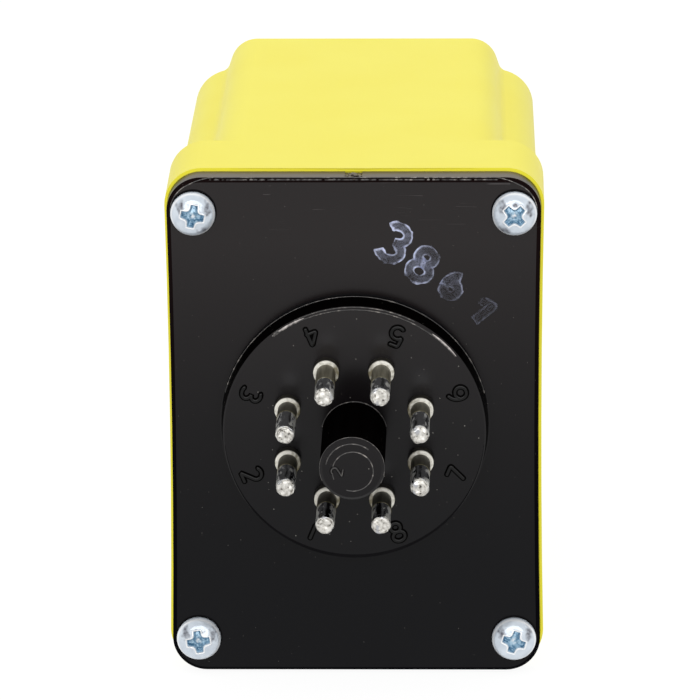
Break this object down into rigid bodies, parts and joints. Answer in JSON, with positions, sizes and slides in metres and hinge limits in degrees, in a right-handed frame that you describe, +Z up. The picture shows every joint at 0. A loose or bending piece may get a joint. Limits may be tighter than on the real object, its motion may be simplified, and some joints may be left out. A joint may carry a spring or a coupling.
{
  "type": "phase monitoring relay",
  "caption": "Plug-in phase monitoring relay: yellow moulded case, black eight-pin octal plug base with four cross-recessed screws, trip adjuster knob and lamp on the far face.",
  "frame": {"origin": "on the plug's axis, in the plane of the pin rings that meets the socket", "axes": "X right seen from the pins, Y from the plug into the case, Z up; pins point along -Y"},
  "size_m": [0.0462, 0.0963, 0.0638],
  "materials": {
    "case_plastic": "moulded, satin, yellow",
    "base_plastic": "moulded, satin to glossy, black",
    "plated_steel": "bright zinc plated",
    "tinned_brass": "tinned, solder on the tips",
    "copper_wire": "tinned wire",
    "circuit_board": "laminate",
    "lamination_steel": "stacked sheet",
    "former_plastic": "moulded, natural",
    "coil_tape": "taped copper coil",
    "coil_wire": "lacquered copper coil",
    "soft_iron": "zinc plated",
    "contact_brass": "rolled strip",
    "spring_steel": "drawn wire",
    "adjuster_plastic": "moulded",
    "chip_plastic": "moulded",
    "film_plastic": "moulded box",
    "can_aluminium": "sleeved can",
    "disc_ceramic": "dipped disc",
    "block_ceramic": "unglazed block",
    "lamp_resin": "clear red resin",
    "knob_plastic": "moulded",
    "shaft_plastic": "moulded"
  },
  "bodies": {
    "case": {"housing": "case_plastic", "base_plate": "base_plastic", "cover_screws": "plated_steel", "pin_1": "tinned_brass", "pin_2": "tinned_brass", "pin_3": "tinned_brass", "pin_4": "tinned_brass", "pin_5": "tinned_brass", "pin_6": "tinned_brass", "pin_7": "tinned_brass", "pin_8": "tinned_brass", "lead_1": "copper_wire", "lead_2": "copper_wire", "lead_3": "copper_wire", "lead_4": "copper_wire", "lead_5": "copper_wire", "lead_6": "copper_wire", "lead_7": "copper_wire", "lead_8": "copper_wire", "plug_board": "circuit_board", "main_board": "circuit_board", "transformer_core": "lamination_steel", "transformer_bobbin": "former_plastic", "transformer_winding": "coil_tape", "relay_base": "former_plastic", "relay_yoke": "soft_iron", "relay_core": "soft_iron", "relay_bobbin": "former_plastic", "relay_winding": "coil_wire", "contact_open": "contact_brass", "contact_closed": "contact_brass", "return_spring": "spring_steel", "adjuster_body": "adjuster_plastic", "comparator_chip": "chip_plastic", "phase_capacitor": "film_plastic", "filter_capacitor_1": "can_aluminium", "filter_capacitor_2": "can_aluminium", "surge_varistor_1": "disc_ceramic", "surge_varistor_2": "disc_ceramic", "surge_varistor_3": "disc_ceramic", "phase_resistor_1": "block_ceramic", "phase_resistor_2": "block_ceramic", "phase_resistor_3": "block_ceramic", "bridge_rectifier": "chip_plastic", "indicator_led": "lamp_resin"},
    "adjuster": {"adjuster_knob": "knob_plastic", "adjuster_shaft": "shaft_plastic"},
    "armature": {"relay_armature": "soft_iron", "contact_arm": "contact_brass"}
  },
  "joints": [
    {"name": "adjuster_turn", "type": "hinge", "parent": "case", "child": "adjuster", "pos_m": [0, 0.07245, -0.0085], "axis": [0, 1, 0], "range_deg": [-135, 135]},
    {"name": "armature_swing", "type": "hinge", "parent": "case", "child": "armature", "pos_m": [0.00402, 0.02705, -0.016], "axis": [0, 0, 1], "range_deg": [0, 6], "stiffness_Nm_per_rad": 0.02, "springref_deg": -5.73}
  ]
}
